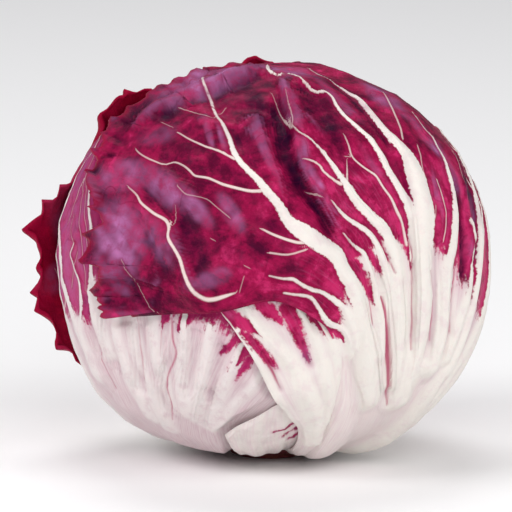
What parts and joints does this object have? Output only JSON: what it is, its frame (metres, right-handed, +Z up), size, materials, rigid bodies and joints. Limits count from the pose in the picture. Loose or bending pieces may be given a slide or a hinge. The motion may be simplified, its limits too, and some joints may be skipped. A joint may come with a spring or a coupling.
{
  "type": "radicchio head",
  "caption": "Round head of red radicchio with white-ribbed wine-red wrapper leaves and a flat cut stem that it stands on.",
  "frame": {"origin": "middle of the cut stem's flat face", "axes": "+Z up through the head, -Y toward the front leaf's folded flap, +X to the right as seen from the front"},
  "size_m": [0.1353, 0.127, 0.114],
  "materials": {
    "cut_stem": "matte",
    "pale_leaf": "satin",
    "heart_leaf": "satin",
    "wine_leaf": "satin"
  },
  "bodies": {
    "root": {"stem_core": "cut_stem", "heart_leaves": "heart_leaf", "leaf_stub": "pale_leaf", "leaf_left": "pale_leaf", "leaf_right": "wine_leaf", "leaf_front": "wine_leaf", "leaf_back": "wine_leaf"}
  },
  "joints": []
}
